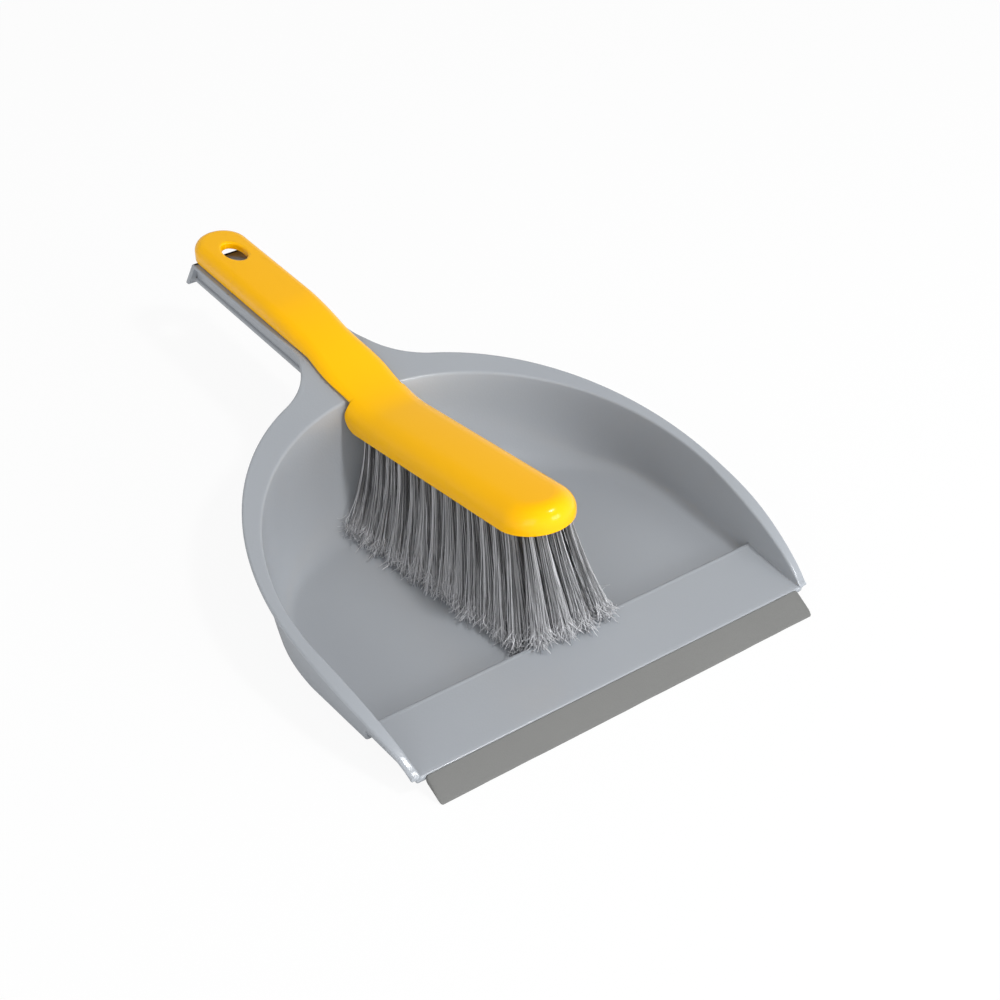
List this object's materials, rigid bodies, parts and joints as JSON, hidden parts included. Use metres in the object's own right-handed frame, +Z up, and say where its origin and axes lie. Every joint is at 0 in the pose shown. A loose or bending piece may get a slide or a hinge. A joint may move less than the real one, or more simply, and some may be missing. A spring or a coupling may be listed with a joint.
{
  "type": "dust pan and brush set",
  "caption": "Dust pan with a sloping entry ramp, a soft lip and a channel handle, and a hand brush that sits over the pan's handle with its bristles in the tray.",
  "frame": {"origin": "middle of the tray's flat underside, on the floor", "axes": "+Z up, +Y from the lip towards the handles, X across; symmetric about X = 0"},
  "size_m": [0.226, 0.3608, 0.0687],
  "materials": {
    "pan_plastic": "satin",
    "lip_rubber": "matte",
    "brush_plastic": "gloss",
    "bristle": "satin",
    "anchor_steel": "plain"
  },
  "bodies": {
    "pan": {"pan_body": "pan_plastic", "rubber_lip": "lip_rubber"},
    "brush": {"brush_block": "brush_plastic", "tuft_row_01": "bristle", "tuft_row_02": "bristle", "tuft_row_03": "bristle", "tuft_row_04": "bristle", "tuft_row_05": "bristle", "tuft_row_06": "bristle", "tuft_row_07": "bristle", "tuft_row_08": "bristle", "tuft_row_09": "bristle", "tuft_row_10": "bristle", "tuft_row_11": "bristle", "tuft_row_12": "bristle", "tuft_row_13": "bristle", "tuft_row_14": "bristle", "anchor_row_01": "anchor_steel", "anchor_row_02": "anchor_steel", "anchor_row_03": "anchor_steel", "anchor_row_04": "anchor_steel", "anchor_row_05": "anchor_steel", "anchor_row_06": "anchor_steel", "anchor_row_07": "anchor_steel", "anchor_row_08": "anchor_steel", "anchor_row_09": "anchor_steel", "anchor_row_10": "anchor_steel", "anchor_row_11": "anchor_steel", "anchor_row_12": "anchor_steel", "anchor_row_13": "anchor_steel", "anchor_row_14": "anchor_steel"}
  },
  "joints": [
    {"name": "brush_lift", "type": "slide", "parent": "pan", "child": "brush", "axis": [0, 0, 1], "range_m": [0, 0.12]}
  ]
}
